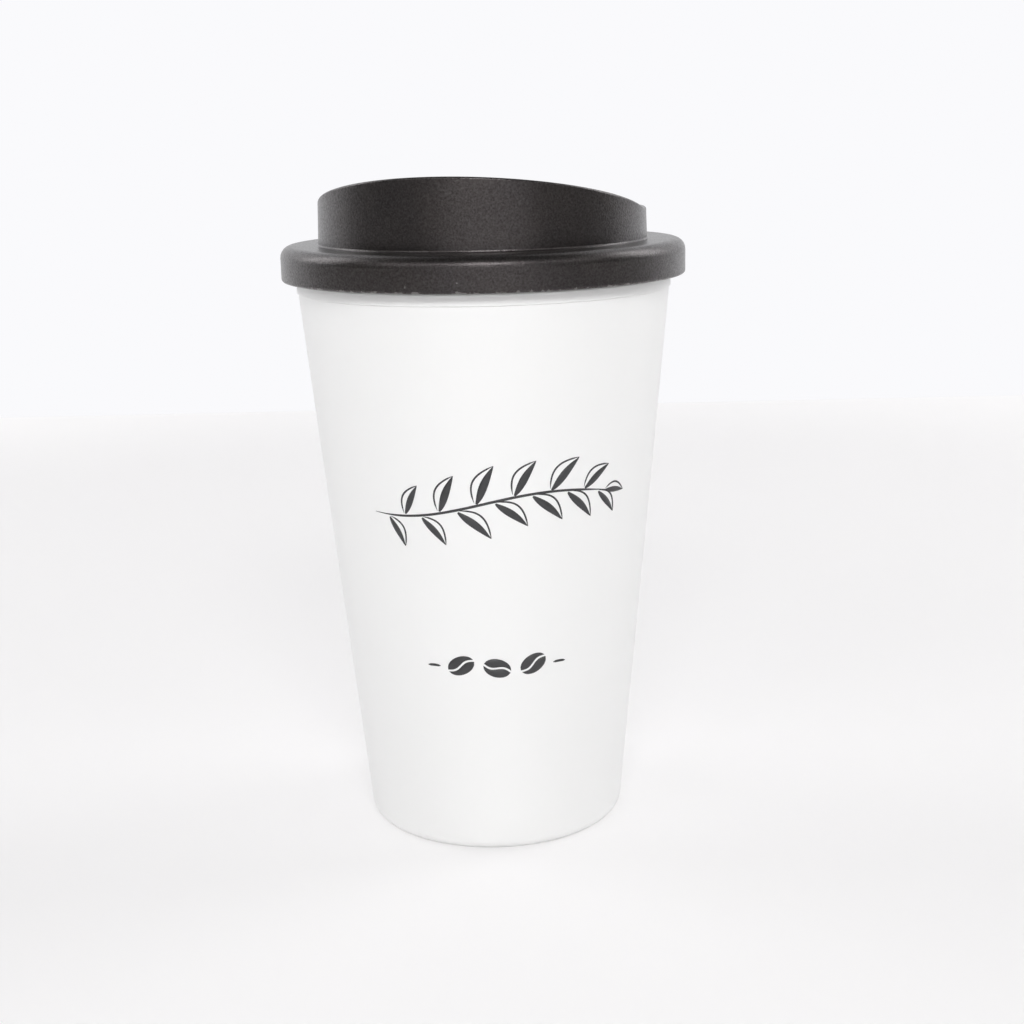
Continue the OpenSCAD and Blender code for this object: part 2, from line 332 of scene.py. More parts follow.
def turned_tree(masks=()):
    """Nodes that turn an outline round the Z axis, and carry its masks to the turned mesh."""
    tree, given = new_tree("turned form", "Geometry", {
        "Outline": "Geometry", "Sections": ("Int", 240), "Material": "Material",
    }, {"Turned": "Geometry"})
    rows = maths(tree, "ADD", given["Sections"], 1)
    shape, share, which, point = outline_grid(tree, given["Outline"], rows)
    spot = round_axis(tree, point["X"], maths(tree, "MULTIPLY", share, 2 * math.pi), point["Z"])
    for mask in masks:
        value = add_node(tree, "GeometryNodeInputNamedAttribute", {"Name": mask}, data_type="FLOAT")
        value = add_node(tree, "GeometryNodeSampleIndex", {
            "Geometry": given["Outline"], "Value": value.outputs[0], "Index": which,
        }, data_type="FLOAT", domain="POINT")
        shape = add_node(tree, "GeometryNodeStoreNamedAttribute", {
            "Geometry": shape, "Name": mask, "Value": value.outputs["Value"],
        }, data_type="FLOAT", domain="POINT").outputs[0]
    shape = add_node(tree, "GeometryNodeSetPosition", {"Geometry": shape, "Position": spot}).outputs[0]
    shape = add_node(tree, "GeometryNodeMergeByDistance", {"Geometry": shape, "Distance": merge_gap})
    shape = add_node(tree, "GeometryNodeSetShadeSmooth", {"Geometry": shape.outputs[0]})
    return put_out(tree, shape.outputs[0], given["Material"])


def run_nodes(piece, tree, **values):
    """Adds the tree to the piece as a modifier and sets its inputs by name."""
    modifier = piece.modifiers.new(tree.name, "NODES")
    modifier.node_group = tree
    for item in tree.interface.items_tree:
        if item.in_out == "INPUT" and item.name.replace(" ", "_") in values:
            modifier[item.identifier] = values[item.name.replace(" ", "_")]
    return piece


def settle(piece, name):
    """Turns the piece's evaluated shape into a plain mesh object, and takes the first piece away."""
    bpy.context.view_layer.update()
    graph = bpy.context.evaluated_depsgraph_get()
    mesh = bpy.data.meshes.new_from_object(piece.evaluated_get(graph), depsgraph=graph)
    mesh.name = name
    made = bpy.data.objects.new(name, mesh)
    bpy.context.scene.collection.objects.link(made)
    bpy.data.objects.remove(piece)
    return made


def turned(name, line, sections, material):
    """An outline turned round the cup's axis, as a mesh object."""
    outline = outline_piece(name + " outline", line)
    return settle(run_nodes(outline, turned_form, Sections=sections, Material=material), name)


def join(name, *pieces):
    """Makes one object of mesh objects, with the faces of each closed shell turned outwards."""
    joined = bmesh.new()
    for piece in pieces:
        joined.from_mesh(piece.data)
    bmesh.ops.recalc_face_normals(joined, faces=joined.faces)
    keep = pieces[0]
    joined.to_mesh(keep.data)
    joined.free()
    for piece in pieces[1:]:
        bpy.data.objects.remove(piece)
    keep.name = keep.data.name = name
    return keep


def grain_group():
    """Fine pebbled grain of a moulded surface, the height for a bump, and a slow unevenness of tone."""
    tree, given = new_tree("moulded grain", "Shader", {
        "Place": "Vector", "Grain size": ("Float", 0.0004), "Coarseness": ("Float", 0.5),
        "Cloud size": ("Float", 0.012),
    }, {"Height": "Float", "Clouds": "Float"})
    fine = maths(tree, "DIVIDE", 1.0, given["Grain size"])
    pebble = add_node(tree, "ShaderNodeTexNoise", {
        "Vector": given["Place"], "Scale": fine, "Detail": 2.0, "Roughness": 0.6,
    })
    pit = add_node(tree, "ShaderNodeTexVoronoi", {
        "Vector": given["Place"], "Scale": maths(tree, "MULTIPLY", fine, 0.8), "Smoothness": 0.6,
    }, feature="SMOOTH_F1")
    depth = maths(tree, "MULTIPLY", pit.outputs["Distance"], given["Coarseness"])
    cloud = add_node(tree, "ShaderNodeTexNoise", {
        "Vector": given["Place"], "Scale": maths(tree, "DIVIDE", 1.0, given["Cloud size"]),
        "Detail": 4.0, "Roughness": 0.55,
    })
    add_node(tree, "NodeGroupOutput", {
        "Height": maths(tree, "ADD", pebble.outputs[0], depth), "Clouds": cloud.outputs[0],
    })
    return tree


def rubbed_group():
    """Marks of handling: short fine scratches, and small nicks where the wear mask is high."""
    tree, given = new_tree("handling marks", "Shader", {
        "Place": "Vector", "Wear": ("Float", 0.0), "Scratches": ("Float", 0.5), "Nicks": ("Float", 0.5),
    }, {"Scratch": "Float", "Nick": "Float"})
    drawn = add_node(tree, "ShaderNodeMapping", {
        "Vector": given["Place"], "Scale": (260.0, 260.0, 1400.0), "Rotation": (0.35, 0.2, 0.6),
    })
    lines = add_node(tree, "ShaderNodeTexNoise", {"Vector": drawn.outputs[0], "Scale": 1.0, "Detail": 1.0})
    patch = add_node(tree, "ShaderNodeTexNoise", {"Vector": given["Place"], "Scale": 90.0, "Detail": 2.0})
    chips = add_node(tree, "ShaderNodeTexNoise", {"Vector": given["Place"], "Scale": 700.0, "Detail": 3.0})
    scratch = ranged(tree, maths(tree, "MULTIPLY", lines.outputs[0], patch.outputs[0]), 0.42, 0.50)
    nick = ranged(tree, maths(tree, "MULTIPLY", chips.outputs[0], given["Wear"]), 0.60, 0.66)
    add_node(tree, "NodeGroupOutput", {
        "Scratch": maths(tree, "MULTIPLY", scratch, given["Scratches"]),
        "Nick": maths(tree, "MULTIPLY", nick, given["Nicks"]),
    })
    return tree


moulded_grain = grain_group()
handling_marks = rubbed_group()


def place_group(tree, group, values):
    """Places a shader group in a material, on the piece's own coordinates, and returns what it puts out."""
    place = add_node(tree, "ShaderNodeTexCoord").outputs["Object"]
    return add_node(tree, "ShaderNodeGroup", {"Place": place, **values}, node_tree=group).outputs


def grained_material(name, grain_size, cloud_size, coarseness=0.5):
    """Starts a material with the moulded grain. Gives it with its tree and what the grain puts out."""
    material, tree = new_material(name)
    grain = place_group(tree, moulded_grain, {
        "Grain size": grain_size, "Cloud size": cloud_size, "Coarseness": coarseness,
    })
    return material, tree, grain


def between(tree, share, low, high):
    """Adds a colour Mix node, low where the share is 0 and high where it is 1, and gives its colour."""
    low, high = (tone if isinstance(tone, bpy.types.NodeSocket) else (*tone, 1) for tone in (low, high))
    return add_node(tree, "ShaderNodeMix", {0: share, 6: low, 7: high}, data_type="RGBA").outputs[2]


def times(tone, share):
    """The tone, darker or paler by a share."""
    return [t * share for t in tone]


def finish_material(tree, grain, bump_strength, bump_depth, inputs):
    """Ends a material in a Principled shader with these inputs, and with the grain as its bump."""
    bump = add_node(tree, "ShaderNodeBump", {
        "Height": grain["Height"], "Strength": bump_strength, "Distance": bump_depth,
    })
    surface = add_node(tree, "ShaderNodeBsdfPrincipled", {**inputs, "Normal": bump.outputs[0]})
    add_node(tree, "ShaderNodeOutputMaterial", {"Surface": surface.outputs[0]})


def white_plastic(name, tone, grain_size, grain_depth, roughness):
    """Satin white polypropylene: an even tone with faint clouds, a very fine grain, a few faint scratches."""
    material, tree, grain = grained_material(name, grain_size, cloud_size=0.03)
    marks = place_group(tree, handling_marks, {"Scratches": 0.35})
    rubbed = maths(tree, "ADD", grain["Clouds"], marks["Scratch"])
    finish_material(tree, grain, 0.25, grain_depth, {
        "Base Color": between(tree, grain["Clouds"], times(tone, 0.985), tone),
        "Roughness": ranged(tree, rubbed, 0.0, 1.0, roughness - 0.05, roughness + 0.06),
        "IOR": 1.49, "Specular IOR Level": 0.45,
    })
    return material


shell_white = white_plastic(
    "satin white plastic", tone=(0.90, 0.90, 0.895), grain_size=0.00035, grain_depth=0.00002, roughness=0.42,
)
turned_form = turned_tree()

shell_line = rounded([
    (0, gate_z, 0), (gate_r, gate_z, gate_edge_r), (gate_foot_r, foot_recess, small_edge_r),
    (foot_in_r - foot_recess, foot_recess, foot_recess_corner_r), (foot_in_r, 0, small_edge_r),
    (shell_base_r, 0, base_corner_r), (shell_top_r, shell_h, shell_rim_edge_r),
    (shell_top_r - shell_wall, shell_h, small_edge_r),
    (shell_base_r - shell_wall + shell_in_inset, shell_in_z, shell_in_corner_r), (0, shell_in_z, 0),
])
shell_piece = join("cup_outer_shell", turned("shell body", shell_line, cup_sections, shell_white))
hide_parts("outer_shell")
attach(shell_piece, "cup")


# Print on the outer shell: a dark grey ink film, screen-printed on the side that faces the view, with a leafy
# sprig and a small row of coffee beans below it. Both are plain patterns drawn here for this cup.
print_turn = math.radians(-74.6)
sprig_z = 0.0846
beans_z = 0.0467
ink_film = 0.00003
ink_sunk = 0.00002
line_width = 0.00052
stem_line_width = line_width * 1.15
leaf_line_width = line_width * 0.8

sprig_half_length = 0.0275
stem_start = -1.04
stem_steps = 60
stem_wave = 0.0021
stem_rise = 0.0009
leaf_count = 13
leaf_length = 0.0086
leaf_width = 0.0017
low_leaf_width = 0.95
leaf_steps = 16
first_leaf = 0.90
leaf_spread = 50
leaf_closing = 12
stalk = 0.0006
rib_bow = 0.10
rib_gap = 0.00008
edge_inset = 0.95
tip_gap = 0.00002

bean_long_r = 0.0032
bean_short_r = 0.0022
bean_tilts = (24, -18, 31)
bean_spacing = 0.0082
bean_lift = 0.0003
bean_reach = 0.995
bean_tip_half = 0.0003
bean_steps = 22
crease_bow = 0.20
crease_half = 0.00024
dash_at = 0.0130
dash_length = 0.0030
dash_width = 0.0006
dash_bow = 0.0001
dash_steps = 6


def wrap_tree():
    """Nodes that give a flat drawing an ink film's thickness and wrap it round the tapered side. The
    drawing's X runs round the cup and its Y runs up."""
    tree, given = new_tree("ink on the side", "Geometry", {
        "Drawing": "Geometry", "Turn": "Float", "Middle height": "Float", "Base radius": "Float",
        "Taper": "Float", "Film": "Float", "Sunk": "Float", "Material": "Material",
    }, {"Ink": "Geometry"})
    base_r, taper = given["Base radius"], given["Taper"]
    low = add_node(tree, "ShaderNodeCombineXYZ", {"Z": maths(tree, "MULTIPLY", given["Sunk"], -1.0)})
    sunk = add_node(tree, "GeometryNodeSetPosition", {
        "Geometry": given["Drawing"], "Offset": low.outputs[0],
    })
    film = add_node(tree, "GeometryNodeExtrudeMesh", {
        "Mesh": sunk.outputs[0], "Offset": (0, 0, 1), "Individual": False,
        "Offset Scale": maths(tree, "ADD", given["Film"], given["Sunk"]),
    }, mode="FACES")
    floor = add_node(tree, "GeometryNodeFlipFaces", {"Mesh": sunk.outputs[0]})
    shape = add_node(tree, "GeometryNodeJoinGeometry")
    tree.links.new(film.outputs[0], shape.inputs[0])
    tree.links.new(floor.outputs[0], shape.inputs[0])
    shape = add_node(tree, "GeometryNodeMergeByDistance", {
        "Geometry": shape.outputs[0], "Distance": merge_gap,
    })
    place = add_node(tree, "ShaderNodeSeparateXYZ", {
        0: add_node(tree, "GeometryNodeInputPosition").outputs[0],
    }).outputs
    middle_r = maths(tree, "MULTIPLY_ADD", given["Middle height"], taper, base_r)
    angle = maths(tree, "ADD", maths(tree, "DIVIDE", place["X"], middle_r), given["Turn"])
    height = maths(tree, "ADD", place["Y"], given["Middle height"])
    radius = maths(tree, "ADD", maths(tree, "MULTIPLY_ADD", height, taper, base_r), place["Z"])
    shape = add_node(tree, "GeometryNodeSetPosition", {
        "Geometry": shape.outputs[0], "Position": round_axis(tree, radius, angle, height),
    })
    return put_out(tree, shape.outputs[0], given["Material"])


def ribbon(low_edge, high_edge):
    """Corners and faces between two edges of equal length, with one row of points between them."""
    corners = [p for a, b in zip(low_edge, high_edge) for p in (a, (a + b) / 2, b)]
    faces = []
    for i in range(len(low_edge) - 1):
        for j in (0, 1):
            faces.append((3 * i + j, 3 * i + 3 + j, 3 * i + 4 + j, 3 * i + 1 + j))
    return [(p.x, p.y, 0) for p in corners], faces


def pen_line(path, width):
    """A ribbon along a path, as wide as a pen line that swells in its middle and ends round."""
    low_edge, high_edge = [], []
    last = len(path) - 1
    for i, p in enumerate(path):
        way = (path[min(i + 1, last)] - path[max(i - 1, 0)]).normalized()
        side = Vector((-way.y, way.x))
        t = i / last
        half = width / 2 * (0.75 + 0.25 * math.sin(math.pi * t)) * min(1, 6 * min(t, 1 - t) + 0.25)
        low_edge.append(p - side * half)
        high_edge.append(p + side * half)
    return ribbon(low_edge, high_edge)


def stem_at(t):
    """Point of the sprig's stem, from its left end at -1 to its right end at 1."""
    return Vector((sprig_half_length * t, stem_wave * math.sin(2.6 * t + 0.5) + stem_rise * t))


def leaf_half(width, t):
    """Half width of a leaf at a share of its length: fullest towards the stem, pointed at the tip."""
    return width * math.sin(math.pi * min(1, 0.04 + 0.96 * t)) ** 0.85 * (1.12 - 0.35 * t)


def leaf(at, way, length, width):
    """One leaf: a solid half below its midrib, and a pen line round the half above it."""
    side = Vector((-way.y, way.x))
    steps = [i / leaf_steps for i in range(leaf_steps + 1)]
    rib = [at + way * (length * t) + side * (rib_bow * length * math.sin(math.pi * t)) for t in steps]
    halves = [leaf_half(width, t) for t in steps]
    solid = ribbon([p - side * w for p, w in zip(rib, halves)], [p + side * rib_gap for p in rib])
    edge = [p + side * (w * edge_inset + tip_gap) for p, w in zip(rib, halves)]
    return [solid, pen_line(edge, leaf_line_width)]


def bean(at, tilt, long_r, short_r):
    """One coffee bean: two solid halves either side of a curved crease."""
    halves = []
    spin = Matrix.Rotation(tilt, 2)
    steps = [-bean_reach + 2 * bean_reach * i / bean_steps for i in range(bean_steps + 1)]
    for side in (-1, 1):
        crease = [
            Vector((long_r * t, crease_bow * short_r * math.sin(math.pi * t) + side * crease_half))
            for t in steps
        ]
        skin = [
            Vector((long_r * t, side * max(short_r * math.sqrt(1 - t * t), bean_tip_half))) for t in steps
        ]
        low, high = (skin, crease) if side < 0 else (crease, skin)
        halves.append(ribbon([at + spin @ p for p in low], [at + spin @ p for p in high]))
    return halves


def drawing(name, shapes):
    """Joins flat shapes into one mesh object, ready to be wrapped."""
    corners, faces = [], []
    for shape_corners, shape_faces in shapes:
        faces += [tuple(i + len(corners) for i in face) for face in shape_faces]
        corners += shape_corners
    return new_piece(name, corners, faces, shell_ink)


def ink(name, tone):
    """Dark printing ink, a little uneven where the screen laid it thinner, with a soft shine."""
    material, tree, grain = grained_material(name, grain_size=0.00018, cloud_size=0.0018)
    finish_material(tree, grain, 0.2, 0.00001, {
        "Base Color": between(tree, grain["Clouds"], times(tone, 0.75), times(tone, 1.35)),
        "Roughness": 0.46, "IOR": 1.5,
    })
    return material


shell_ink = ink("dark grey ink", (0.040, 0.040, 0.042))
ink_on_side = wrap_tree()

stem = [stem_at(stem_start + (1 - stem_start) * i / stem_steps) for i in range(stem_steps + 1)]
sprig = [pen_line(stem, stem_line_width)]
for i in range(leaf_count):
    t = -first_leaf + 2 * first_leaf * i / (leaf_count - 1)
    along = (stem_at(t + 0.01) - stem_at(t - 0.01)).normalized()
    up = 1 if i % 2 else -1
    way = Matrix.Rotation(up * math.radians(leaf_spread - leaf_closing * t), 2) @ along
    size = 0.80 + 0.28 * math.cos(1.4 * t - 0.1) + 0.05 * math.sin(5.1 * i)
    width = leaf_width * size * (1 if up > 0 else low_leaf_width)
    sprig += leaf(stem_at(t) + way * stalk, way, leaf_length * size, width)
end_way = (stem_at(1.0) - stem_at(0.98)).normalized()
sprig += leaf(stem_at(0.99), end_way, leaf_length * 0.72, leaf_width * 0.75)

beans = []
for i, tilt in enumerate(bean_tilts):
    middle = Vector((bean_spacing * (i - 1), bean_lift * (-1) ** i))
    beans += bean(middle, math.radians(tilt), bean_long_r, bean_short_r)
for way in (-1, 1):
    dash = [
        Vector((way * (dash_at + dash_length * t), dash_bow * math.sin(3 * t)))
        for t in [i / dash_steps for i in range(dash_steps + 1)]
    ]
    beans.append(pen_line(dash[::way], dash_width))

for name, shapes, height in (("printed_sprig", sprig, sprig_z), ("printed_beans", beans, beans_z)):
    flat = drawing(name + " drawing", shapes)
    run_nodes(
        flat, ink_on_side, Turn=print_turn, Middle_height=height, Base_radius=shell_base_r,
        Taper=(shell_top_r - shell_base_r) / shell_h, Film=ink_film, Sunk=ink_sunk, Material=shell_ink,
    )
    printed = settle(flat, name)
    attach(printed, "cup")


# Liner of the cup: the same white polypropylene, moulded as one piece with the spigot that centres it, the
# flange that shows as a narrow band under the lid, and the neck with three thread ridges. It is welded on at
# the flange.
liner_z = 0.0070
liner_in_z = 0.0088
liner_gap = 0.0046
liner_wall = 0.0016
liner_base_corner_r = 0.0066
liner_in_corner_r = 0.0050
shoulder_z = 0.1197
shoulder_out_r = 0.0006
shoulder_in_r = 0.0020
spigot_z = 0.1247
spigot_gap = 0.0021
spigot_top_r = 0.0002
throat_r = 0.03907
throat_edge_r = 0.0010
throat_top_r = 0.0008
band_r = 0.0434
band_z = 0.1308
band_low_edge_r = 0.0002
band_top_edge_r = 0.0004
neck_r = 0.04255
neck_in_r = 0.04075
mouth_z = 0.1367
mouth_edge_r = 0.00085
thread_starts = 3
thread_lead = 0.012
ridge_h = 0.0013
ridge_root = 0.0005
ridge_top_half = 0.00045
ridge_root_half = 0.00114
ridge_edge_r = 0.00028
ridge_run_out = math.radians(12)
neck_ridge_sweep = math.radians(99.0)
neck_ridge_z = 0.1320


def side_r(z):
    """Radius of the cup's straight side at a height."""
    return shell_base_r + (shell_top_r - shell_base_r) / shell_h * z


def ridge_tree():
    """Nodes that sweep the section of a thread ridge up a helix, let both ends run out into the wall, and
    repeat it evenly round the axis. The section's X is how far it stands out, and its Z is across it."""
    tree, given = new_tree("thread ridges", "Geometry", {
        "Section": "Geometry", "Starts": ("Int", 3), "Steps": ("Int", 3), "Wall radius": "Float",
        "Inwards": "Float", "First angle": "Float", "Sweep": "Float", "Lead": "Float",
        "Low height": "Float", "Run out": "Float", "Root depth": "Float", "Material": "Material",
    }, {"Ridges": "Geometry"})
    grid, share, _, point = outline_grid(tree, given["Section"], given["Steps"])
    turn = maths(tree, "MULTIPLY", share, given["Sweep"])
    to_end = maths(tree, "MINIMUM", turn, maths(tree, "SUBTRACT", given["Sweep"], turn))
    to_end = maths(tree, "DIVIDE", to_end, given["Run out"])
    full = ranged(tree, to_end, 0.0, 1.0, interpolation_type="SMOOTHSTEP")
    root = given["Root depth"]
    out = maths(tree, "MULTIPLY", maths(tree, "ADD", point["X"], root), full)
    out = maths(tree, "MULTIPLY", maths(tree, "SUBTRACT", out, root), given["Inwards"])
    narrowing = maths(tree, "MINIMUM", 1.0, maths(tree, "MULTIPLY", full, 3.0))
    across = maths(tree, "MULTIPLY", point["Z"], narrowing)
    rise = maths(tree, "MULTIPLY", maths(tree, "DIVIDE", turn, 2 * math.pi), given["Lead"])
    radius = maths(tree, "SUBTRACT", given["Wall radius"], out)
    angle = maths(tree, "ADD", turn, given["First angle"])
    height = maths(tree, "ADD", maths(tree, "ADD", across, rise), given["Low height"])
    spot = round_axis(tree, radius, angle, height)
    ridge = add_node(tree, "GeometryNodeSetPosition", {"Geometry": grid, "Position": spot})
    ridge = add_node(tree, "GeometryNodeMergeByDistance", {
        "Geometry": ridge.outputs[0], "Distance": merge_gap,
    })
    ridge = add_node(tree, "GeometryNodeSetShadeSmooth", {"Geometry": ridge.outputs[0]})
    line = add_node(tree, "GeometryNodeMeshLine", {"Count": given["Starts"], "Offset": (0, 0, 0)})
    number = add_node(tree, "GeometryNodeInputIndex").outputs[0]
    spin = add_node(tree, "ShaderNodeCombineXYZ", {
        "Z": maths(tree, "MULTIPLY", number, maths(tree, "DIVIDE", 2 * math.pi, given["Starts"])),
    })
    copies = add_node(tree, "GeometryNodeInstanceOnPoints", {
        "Points": line.outputs[0], "Instance": ridge.outputs[0], "Rotation": spin.outputs[0],
    })
    return put_out(tree, copies.outputs[0], given["Material"])


ridge_section = rounded([
    (-ridge_root, -ridge_root_half, 0), (ridge_h, -ridge_top_half, ridge_edge_r),
    (ridge_h, ridge_top_half, ridge_edge_r), (-ridge_root, ridge_root_half, 0),
    (-ridge_root, -ridge_root_half, 0),
], steps=5, support=0.0001)
thread_ridges = ridge_tree()


def ridges(name, steps, wall_r, inwards, first_angle, sweep, low_z, material):
    """The thread ridges on a round wall, as one mesh object. Inwards is 1 in a bore and -1 on a neck."""
    return settle(run_nodes(
        outline_piece(name + " section", ridge_section), thread_ridges, Starts=thread_starts, Steps=steps,
        Wall_radius=wall_r, Inwards=inwards, First_angle=first_angle, Sweep=sweep, Lead=thread_lead,
        Low_height=low_z, Run_out=ridge_run_out, Root_depth=ridge_root, Material=material,
    ), name)


liner_white = white_plastic(
    "white plastic inside", tone=(0.885, 0.885, 0.88), grain_size=0.0003, grain_depth=0.000012,
    roughness=0.36,
)
liner_line = rounded([
    (0, liner_z, 0), (side_r(liner_z) - liner_gap, liner_z, liner_base_corner_r),
    (side_r(shoulder_z) - liner_gap, shoulder_z, shoulder_out_r),
    (side_r(spigot_z) - spigot_gap, spigot_z, small_edge_r),
    (side_r(shell_h) - spigot_gap, shell_h, spigot_top_r), (band_r, shell_h, band_low_edge_r),
    (band_r, band_z, band_top_edge_r), (neck_r, band_z, small_edge_r), (neck_r, mouth_z, mouth_edge_r),
    (neck_in_r, mouth_z, mouth_edge_r), (neck_in_r, band_z, throat_top_r), (throat_r, shell_h, throat_top_r),
    (throat_r, spigot_z, throat_edge_r),
    (side_r(shoulder_z) - liner_gap - liner_wall, shoulder_z, shoulder_in_r),
    (side_r(liner_in_z) - liner_gap - liner_wall, liner_in_z, liner_in_corner_r), (0, liner_in_z, 0),
])
liner_body = turned("liner body", liner_line, cup_sections, liner_white)
neck_ridges = ridges("neck ridges", 100, neck_r, -1.0, 0.0, neck_ridge_sweep, neck_ridge_z, liner_white)
liner_piece = join("cup_liner", liner_body, neck_ridges)
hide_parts("inner_liner")
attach(liner_piece, "cup")


# Lid: matt black polypropylene, moulded in one piece with a fine spark-eroded grain. The skirt screws on over
# the neck, the collar's rim slants up to the drinking side, and the sunk deck has a curved sip slot and a
# vent hole.
lid_r = 0.04675
lid_sections = 360
skirt_in_r = 0.04425
skirt_z = 0.13105
skirt_edge_r = 0.0006
flange_in_z = 0.1370
flange_z = 0.13895
shoulder_r = 0.0026
collar_r = 0.0380
collar_in_r = 0.0360
collar_draft = math.tan(math.radians(1.9))
collar_foot_r = 0.03813
collar_foot_h = 0.00036
collar_foot_top_r = 0.0002
collar_foot_edge_r = 0.00015
rim_z = 0.14605
rim_slant = math.radians(12.8)
rim_bend_r = 0.020
rim_edge_r = 0.00060
squeeze_z = 0.1410
deck_mid_z = 0.13895
deck_slope = 0.0008 / 0.0342
deck_wall = 0.0018
deck_corner_r = 0.0018
deck_rings = [0.0022 * i for i in range(1, 16)]
plug_r = 0.0400
plug_in_r = 0.0365
plug_z = 0.13135
plug_edge_r = 0.0004
plug_in_edge_r = 0.0005
plug_root_r = 0.0008
groove_r = 0.0384
groove_z = 0.13255
groove_top_z = 0.13475
groove_edge_r = 0.00012
slot_r = 0.0313
slot_half_w = 0.0028
slot_half_sweep = math.radians(12)
slot_steps = 24
slot_end_steps = 12
vent_r = 0.0012
vent_at = 0.0240
vent_steps = 40
hole_edge_r = 0.00045
hole_edge_turns = [math.radians(12 * i) for i in range(7)]
hole_flare = (0.00040, 0.00013)
lid_ridge_z = 0.13215
lid_ridge_sweep = math.radians(60.0)
lid_ridge_angle = math.radians(50.9)
open_wear = 0.80
rim_wear = 0.93
rim_wear_reach = 0.0007
skirt_wear = 1.18
skirt_wear_from = 0.00025
skirt_wear_reach = 0.0015


def slanting_tree():
    """Nodes that lift the rim: points with full lift follow a plane that slants down from the drinking side
    (-Y), bends near the axis and runs level behind it, points with none stay, and the drafted outside leans
    in as it rises."""
    tree, given = new_tree("slanting rim", "Geometry", {
        "Turned": "Geometry", "Slant": "Float", "Bend radius": "Float", "Draft": "Float",
        "Material": "Material",
    }, {"Slanted": "Geometry"})
    lift_mask, lean_mask = (
        add_node(tree, "GeometryNodeInputNamedAttribute", {"Name": name}, data_type="FLOAT").outputs[0]
        for name in ("lift", "lean")
    )
    place = add_node(tree, "ShaderNodeSeparateXYZ", {
        0: add_node(tree, "GeometryNodeInputPosition").outputs[0],
    }).outputs
    slant, bend_r = given["Slant"], given["Bend radius"]
    level_y = maths(tree, "MULTIPLY", bend_r, maths(tree, "TANGENT", maths(tree, "MULTIPLY", slant, 0.5)))
    before = maths(tree, "MAXIMUM", maths(tree, "SUBTRACT", level_y, place["Y"]), 0.0)
    in_bend = maths(tree, "MINIMUM", before, maths(tree, "MULTIPLY", bend_r, maths(tree, "SINE", slant)))
    root = maths(tree, "SUBTRACT", maths(tree, "POWER", bend_r, 2.0), maths(tree, "POWER", in_bend, 2.0))
    bent = maths(tree, "SUBTRACT", bend_r, maths(tree, "SQRT", root))
    straight = maths(tree, "SUBTRACT", before, in_bend)
    straight = maths(tree, "MULTIPLY", straight, maths(tree, "TANGENT", slant))
    rise = maths(tree, "MULTIPLY", maths(tree, "ADD", bent, straight), lift_mask)
    inwards = maths(tree, "MULTIPLY", maths(tree, "MULTIPLY", rise, lean_mask), given["Draft"])
    flat = add_node(tree, "ShaderNodeCombineXYZ", {"X": place["X"], "Y": place["Y"]})
    way = add_node(tree, "ShaderNodeVectorMath", {0: flat.outputs[0]}, operation="NORMALIZE")
    pull = add_node(tree, "ShaderNodeVectorMath", {
        0: way.outputs[0], "Scale": maths(tree, "MULTIPLY", inwards, -1.0),
    }, operation="SCALE")
    lift = add_node(tree, "ShaderNodeCombineXYZ", {"Z": rise})
    offset = add_node(tree, "ShaderNodeVectorMath", {0: pull.outputs[0], 1: lift.outputs[0]}, operation="ADD")
    shape = add_node(tree, "GeometryNodeSetPosition", {
        "Geometry": given["Turned"], "Offset": offset.outputs[0],
    })
    return put_out(tree, shape.outputs[0], given["Material"])


def deck_at(r):
    """Height of the domed deck's top at a radius."""
    return deck_mid_z - deck_slope * r


def round_point(angle):
    """Point at an angle on a circle of radius 1."""
    return Vector((math.cos(angle), math.sin(angle)))


def slot_loop(grow):
    """Plan of the sip slot, on the -Y side, widened all round by grow."""
    loop = []
    for end in (1, -1):
        for i in range(slot_steps + 1):
            a = -math.pi / 2 - end * slot_half_sweep + end * 2 * slot_half_sweep * i / slot_steps
            loop.append(round_point(a) * (slot_r + end * slot_half_w + end * grow))
        a = -math.pi / 2 + end * slot_half_sweep
        start = a if end > 0 else a + math.pi
        for i in range(1, slot_end_steps):
            out = round_point(start + math.pi * i / slot_end_steps) * (slot_half_w + grow)
            loop.append(round_point(a) * slot_r + out)
    return loop


def vent_loop(grow):
    """Plan of the vent hole, widened all round by grow."""
    turns = [2 * math.pi * i / vent_steps for i in range(vent_steps)]
    return [round_point(a) * (vent_r + grow) + Vector((0, vent_at)) for a in turns]


def hole_cutter(name, loop_at):
    """A closed cutter for a hole in the deck, flared at the deck's top and underside to round both edges."""
    levels = [(hole_edge_r * (1 - math.cos(a)), hole_edge_r * math.sin(a)) for a in hole_edge_turns]
    levels.append((levels[-1][0] + hole_flare[0], levels[-1][1] + hole_flare[1]))
    sides = [(-1, g, h) for g, h in reversed(levels)] + [(1, g, h) for g, h in levels]
    vertices, faces = [], []
    for side, grow, height in sides:
        for p in loop_at(grow):
            middle = deck_at(p.length) - deck_wall / 2
            vertices.append((p.x, p.y, middle + side * (deck_wall / 2 - hole_edge_r + height)))
    count = len(loop_at(0))
    for low in range(0, (len(sides) - 1) * count, count):
        for i in range(count):
            j = (i + 1) % count
            faces.append((low + i, low + j, low + count + j, low + count + i))
    faces.append(tuple(range(count))[::-1])
    faces.append(tuple(range((len(sides) - 1) * count, len(sides) * count)))
    return new_piece(name, vertices, faces, lid_black)


def split_wide_faces(piece):
    """Splits the faces that a cut left with more than four corners into well-shaped triangles."""
    shape = bmesh.new()
    shape.from_mesh(piece.data)
    wide = [face for face in shape.faces if len(face.verts) > 4]
    bmesh.ops.triangulate(shape, faces=wide, ngon_method="BEAUTY")
    bmesh.ops.dissolve_degenerate(shape, edges=shape.edges, dist=1e-7)
    shape.to_mesh(piece.data)
    shape.free()


